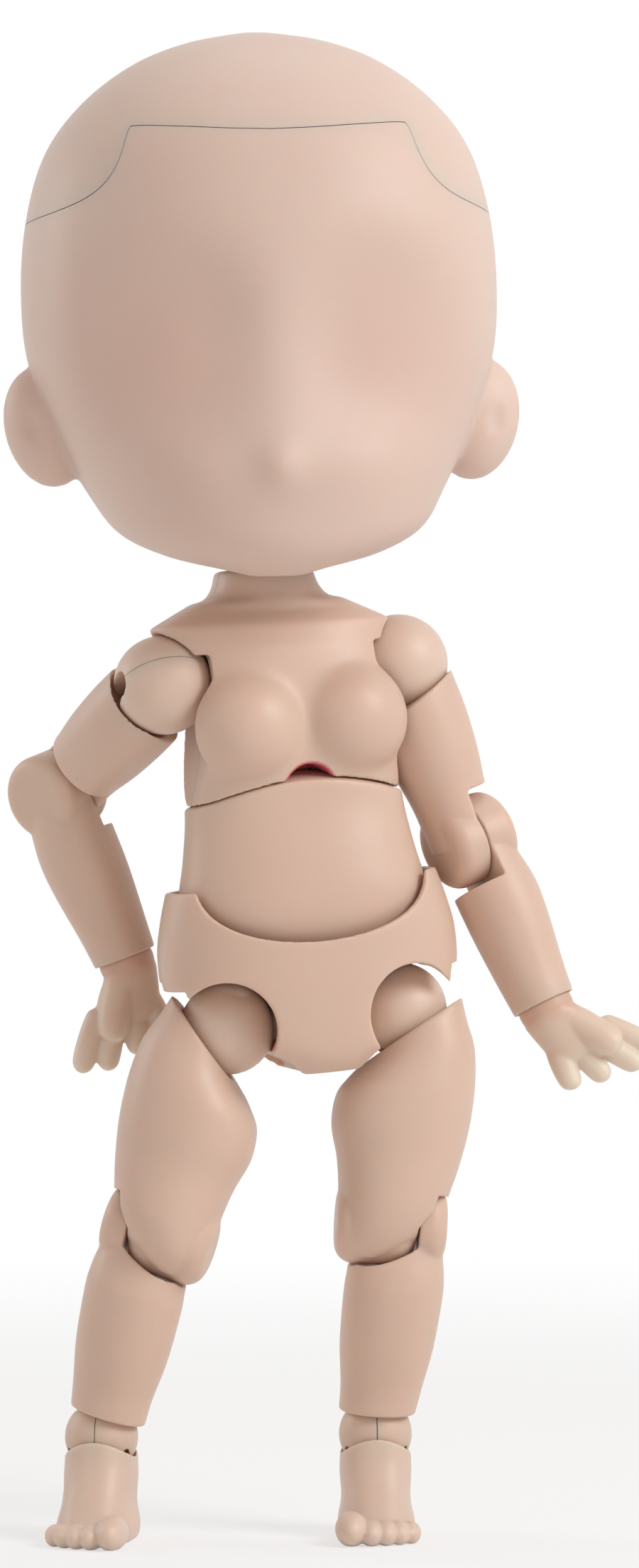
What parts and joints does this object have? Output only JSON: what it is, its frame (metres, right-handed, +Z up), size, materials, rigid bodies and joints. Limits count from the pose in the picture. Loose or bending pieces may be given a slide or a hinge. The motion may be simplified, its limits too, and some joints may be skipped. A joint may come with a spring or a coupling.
{
  "type": "articulated doll",
  "caption": "Small standing jointed mannequin doll with a large blank head, split shell trunk, ball jointed shoulders, hips and ankles, and hinged elbows and knees.",
  "frame": {"origin": "on the ground under the middle of the whole doll, at the bottom centre of its bounding box", "axes": "+Z up along the doll, -Y the way the face looks, +X towards the left arm, on the right of the picture"},
  "size_m": [0.0602, 0.0428, 0.1397],
  "materials": {
    "body_plastic": "satin moulded flesh-beige plastic with fine mould seams",
    "head_plastic": "satin moulded flesh-beige plastic, smooth and unpainted",
    "hand_plastic": "softer, slightly paler moulded plastic",
    "inner_plastic": "hard plain plastic of the inner hinges, pins and posts"
  },
  "bodies": {
    "pelvis": {"pelvis_front": "body_plastic", "pelvis_back": "body_plastic"},
    "waist_link": {"waist_link": "inner_plastic"},
    "abdomen": {"abdomen_front": "body_plastic", "abdomen_back": "body_plastic"},
    "chest": {"chest_front": "body_plastic", "chest_back": "body_plastic", "waist_peg": "inner_plastic"},
    "neck_post": {"neck_post": "inner_plastic"},
    "neck_ball": {"neck_ball_front": "inner_plastic", "neck_ball_back": "inner_plastic"},
    "head": {"face_plate": "head_plastic", "crown_front_shell": "head_plastic", "head_back_shell": "head_plastic", "head_socket": "inner_plastic"},
    "right_shoulder_ball": {"right_shoulder_ball_front": "body_plastic", "right_shoulder_ball_back": "body_plastic"},
    "right_shoulder_hinge": {"right_shoulder_hinge": "inner_plastic"},
    "right_upper_arm": {"right_upper_arm": "body_plastic", "right_elbow_pin": "inner_plastic"},
    "right_forearm": {"right_forearm": "body_plastic"},
    "right_wrist": {"right_wrist_joint": "inner_plastic"},
    "right_hand": {"right_hand": "hand_plastic"},
    "right_hip_ball": {"right_hip_ball_front": "body_plastic", "right_hip_ball_back": "body_plastic"},
    "right_hip_hinge": {"right_hip_hinge": "inner_plastic"},
    "right_thigh": {"right_thigh": "body_plastic", "right_knee_pin": "inner_plastic"},
    "right_calf": {"right_calf": "body_plastic"},
    "right_ankle_post": {"right_ankle_post": "inner_plastic"},
    "right_ankle_ball": {"right_ankle_ball_inner": "body_plastic", "right_ankle_ball_outer": "body_plastic"},
    "right_foot": {"right_foot": "body_plastic", "right_foot_hinge": "inner_plastic"},
    "left_shoulder_ball": {"left_shoulder_ball_front": "body_plastic", "left_shoulder_ball_back": "body_plastic"},
    "left_shoulder_hinge": {"left_shoulder_hinge": "inner_plastic"},
    "left_upper_arm": {"left_upper_arm": "body_plastic", "left_elbow_pin": "inner_plastic"},
    "left_forearm": {"left_forearm": "body_plastic"},
    "left_wrist": {"left_wrist_joint": "inner_plastic"},
    "left_hand": {"left_hand": "hand_plastic"},
    "left_hip_ball": {"left_hip_ball_front": "body_plastic", "left_hip_ball_back": "body_plastic"},
    "left_hip_hinge": {"left_hip_hinge": "inner_plastic"},
    "left_thigh": {"left_thigh": "body_plastic", "left_knee_pin": "inner_plastic"},
    "left_calf": {"left_calf": "body_plastic"},
    "left_ankle_post": {"left_ankle_post": "inner_plastic"},
    "left_ankle_ball": {"left_ankle_ball_inner": "body_plastic", "left_ankle_ball_outer": "body_plastic"},
    "left_foot": {"left_foot": "body_plastic", "left_foot_hinge": "inner_plastic"}
  },
  "joints": [
    {"name": "waist_lean", "type": "hinge", "parent": "pelvis", "child": "waist_link", "pos_m": [-0.00187, -0.00109, 0.05339], "axis": [-0.2061, 0.9784, -0.0191], "range_deg": [-4, 4]},
    {"name": "waist_bend", "type": "hinge", "parent": "waist_link", "child": "abdomen", "pos_m": [-0.00244, -0.00109, 0.05956], "axis": [0.9742, 0.2069, 0.0904], "range_deg": [-6, 6]},
    {"name": "chest_turn", "type": "hinge", "parent": "abdomen", "child": "chest", "pos_m": [-0.0034, -0.00109, 0.06991], "axis": [-0.0924, 0, 0.9957], "range_deg": [-35, 12]},
    {"name": "neck_nod", "type": "hinge", "parent": "chest", "child": "neck_post", "pos_m": [-0.00497, -0.00109, 0.08684], "axis": [0.9519, 0.2935, 0.0883], "range_deg": [-12, 7]},
    {"name": "head_tilt", "type": "hinge", "parent": "neck_post", "child": "neck_ball", "pos_m": [-0.00599, -0.00109, 0.09779], "axis": [-0.2923, 0.956, -0.0271], "range_deg": [-7, 7]},
    {"name": "head_turn", "type": "hinge", "parent": "neck_ball", "child": "head", "pos_m": [-0.00599, -0.00109, 0.09779], "axis": [-0.0209, 0, 0.9998], "range_deg": [-90, 90]},
    {"name": "right_shoulder_swing", "type": "hinge", "parent": "chest", "child": "right_shoulder_ball", "pos_m": [-0.01529, -0.00447, 0.07906], "axis": [-0.9519, -0.2935, -0.0883], "range_deg": [-45, 4]},
    {"name": "right_shoulder_lift", "type": "hinge", "parent": "right_shoulder_ball", "child": "right_shoulder_hinge", "pos_m": [-0.01529, -0.00447, 0.07906], "axis": [-0.2379, 0.5256, 0.8168], "range_deg": [-8, 75]},
    {"name": "right_upper_arm_turn", "type": "hinge", "parent": "right_shoulder_hinge", "child": "right_upper_arm", "pos_m": [-0.01529, -0.00447, 0.07906], "axis": [-0.5562, 0.6157, -0.5582], "range_deg": [-45, 60]},
    {"name": "right_elbow_bend", "type": "hinge", "parent": "right_upper_arm", "child": "right_forearm", "pos_m": [-0.02519, 0.00649, 0.06912], "axis": [0.5963, 0.7635, 0.248], "range_deg": [-5, 30]},
    {"name": "right_wrist_turn", "type": "hinge", "parent": "right_forearm", "child": "right_wrist", "pos_m": [-0.01888, 0.00679, 0.05301], "axis": [0.3648, 0.0175, -0.9309], "range_deg": [-50, 90]},
    {"name": "right_wrist_bend", "type": "hinge", "parent": "right_wrist", "child": "right_hand", "pos_m": [-0.01888, 0.00679, 0.05301], "axis": [0.9164, 0.17, 0.3623], "range_deg": [-25, 25]},
    {"name": "right_hip_swing", "type": "hinge", "parent": "pelvis", "child": "right_hip_ball", "pos_m": [-0.00939, -0.00269, 0.04721], "axis": [-0.9735, -0.2069, -0.097], "range_deg": [-15, 15]},
    {"name": "right_hip_spread", "type": "hinge", "parent": "right_hip_ball", "child": "right_hip_hinge", "pos_m": [-0.00939, -0.00269, 0.04721], "axis": [-0.2056, 0.9784, -0.0235], "range_deg": [-4, 10]},
    {"name": "right_thigh_turn", "type": "hinge", "parent": "right_hip_hinge", "child": "right_thigh", "pos_m": [-0.00939, -0.00269, 0.04721], "axis": [-0.3062, -0.0872, -0.948], "range_deg": [-12, 12]},
    {"name": "right_knee_bend", "type": "hinge", "parent": "right_thigh", "child": "right_calf", "pos_m": [-0.01548, -0.00443, 0.02835], "axis": [0.9428, -0.1657, -0.2893], "range_deg": [-8, 60]},
    {"name": "right_ankle_turn", "type": "hinge", "parent": "right_calf", "child": "right_ankle_post", "pos_m": [-0.02102, -0.00287, 0.0094], "axis": [-0.2798, 0.0785, -0.9568], "range_deg": [-30, 30]},
    {"name": "right_ankle_roll", "type": "hinge", "parent": "right_ankle_post", "child": "right_ankle_ball", "pos_m": [-0.02102, -0.00287, 0.0094], "axis": [0.1736, 0.9844, 0.03], "range_deg": [-10, 18]},
    {"name": "right_ankle_pitch", "type": "hinge", "parent": "right_ankle_ball", "child": "right_foot", "pos_m": [-0.02102, -0.00287, 0.0094], "axis": [0.9848, -0.1736, 0], "range_deg": [-25, 25]},
    {"name": "left_shoulder_swing", "type": "hinge", "parent": "chest", "child": "left_shoulder_ball", "pos_m": [0.0066, 0.00228, 0.08109], "axis": [-0.9519, -0.2935, -0.0883], "range_deg": [-60, 12]},
    {"name": "left_shoulder_lift", "type": "hinge", "parent": "left_shoulder_ball", "child": "left_shoulder_hinge", "pos_m": [0.0066, 0.00228, 0.08109], "axis": [0.2858, -0.954, 0.0907], "range_deg": [0, 75]},
    {"name": "left_upper_arm_turn", "type": "hinge", "parent": "left_shoulder_hinge", "child": "left_upper_arm", "pos_m": [0.0066, 0.00228, 0.08109], "axis": [-0.3551, -0.0175, 0.9347], "range_deg": [-45, 15]},
    {"name": "left_elbow_bend", "type": "hinge", "parent": "left_upper_arm", "child": "left_forearm", "pos_m": [0.01292, 0.00259, 0.06445], "axis": [0.8039, 0.5046, 0.3148], "range_deg": [-8, 30]},
    {"name": "left_wrist_turn", "type": "hinge", "parent": "left_forearm", "child": "left_wrist", "pos_m": [0.02031, 0.00048, 0.04895], "axis": [-0.4273, 0.1219, 0.8959], "range_deg": [-50, 90]},
    {"name": "left_wrist_bend", "type": "hinge", "parent": "left_wrist", "child": "left_hand", "pos_m": [0.02031, 0.00048, 0.04895], "axis": [0.8969, 0.1819, 0.4031], "range_deg": [-25, 25]},
    {"name": "left_hip_swing", "type": "hinge", "parent": "pelvis", "child": "left_hip_ball", "pos_m": [0.00668, 0.00072, 0.04881], "axis": [-0.9735, -0.2069, -0.097], "range_deg": [-15, 15]},
    {"name": "left_hip_spread", "type": "hinge", "parent": "left_hip_ball", "child": "left_hip_hinge", "pos_m": [0.00668, 0.00072, 0.04881], "axis": [0.1962, -0.9744, 0.1095], "range_deg": [-4, 10]},
    {"name": "left_thigh_turn", "type": "hinge", "parent": "left_hip_hinge", "child": "left_thigh", "pos_m": [0.00668, 0.00072, 0.04881], "axis": [0.0519, 0.1219, 0.9912], "range_deg": [-12, 12]},
    {"name": "left_knee_bend", "type": "hinge", "parent": "left_thigh", "child": "left_calf", "pos_m": [0.00564, -0.0017, 0.02909], "axis": [0.9971, 0.0497, -0.0584], "range_deg": [-8, 60]},
    {"name": "left_ankle_turn", "type": "hinge", "parent": "left_calf", "child": "left_ankle_post", "pos_m": [0.0044, 0.00002, 0.0094], "axis": [0.0626, -0.0872, 0.9942], "range_deg": [-30, 30]},
    {"name": "left_ankle_roll", "type": "hinge", "parent": "left_ankle_post", "child": "left_ankle_ball", "pos_m": [0.0044, 0.00002, 0.0094], "axis": [0.0348, -0.9954, -0.0894], "range_deg": [-10, 18]},
    {"name": "left_ankle_pitch", "type": "hinge", "parent": "left_ankle_ball", "child": "left_foot", "pos_m": [0.0044, 0.00002, 0.0094], "axis": [0.9994, 0.0349, 0], "range_deg": [-25, 25]}
  ]
}
